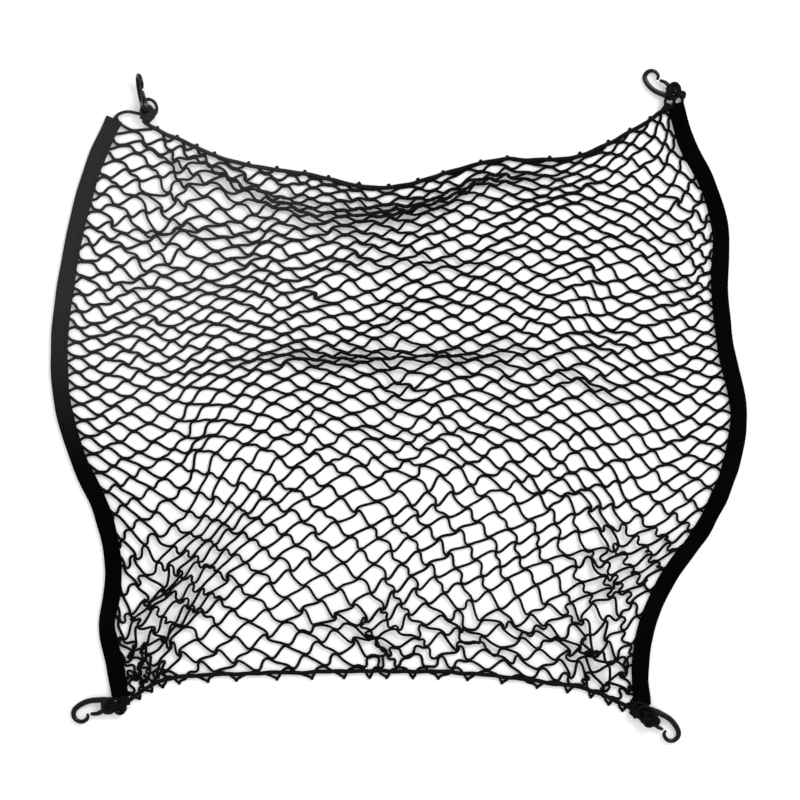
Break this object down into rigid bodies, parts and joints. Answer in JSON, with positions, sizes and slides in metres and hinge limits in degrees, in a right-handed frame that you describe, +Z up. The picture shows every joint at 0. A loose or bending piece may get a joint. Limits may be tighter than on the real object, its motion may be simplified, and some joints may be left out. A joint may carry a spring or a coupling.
{
  "type": "cargo net with corner hooks",
  "caption": "Black diamond-mesh cord net with folded webbing sides, draw cords along top and bottom, and a moulded hook at each corner, lying spread.",
  "frame": {"origin": "middle of the footprint, on the surface that the net lies on", "axes": "+Z up from the surface, +Y from the bottom draw cord to the top one, +X to the right"},
  "size_m": [0.6962, 0.6716, 0.0239],
  "materials": {
    "net_cord": "black braided cord, matte",
    "webbing": "black woven tape, matte",
    "draw_cord": "black braided elastic cord",
    "hook_nylon": "black moulded nylon, satin"
  },
  "bodies": {
    "root": {"net_panel": "net_cord", "left_tape": "webbing", "right_tape": "webbing", "top_draw_cord": "draw_cord", "bottom_draw_cord": "draw_cord", "hook_top_left": "hook_nylon", "hook_top_right": "hook_nylon", "hook_bottom_left": "hook_nylon", "hook_bottom_right": "hook_nylon", "knot_top_left": "draw_cord", "knot_top_right": "draw_cord", "knot_bottom_left": "draw_cord", "knot_bottom_right": "draw_cord"}
  },
  "joints": []
}
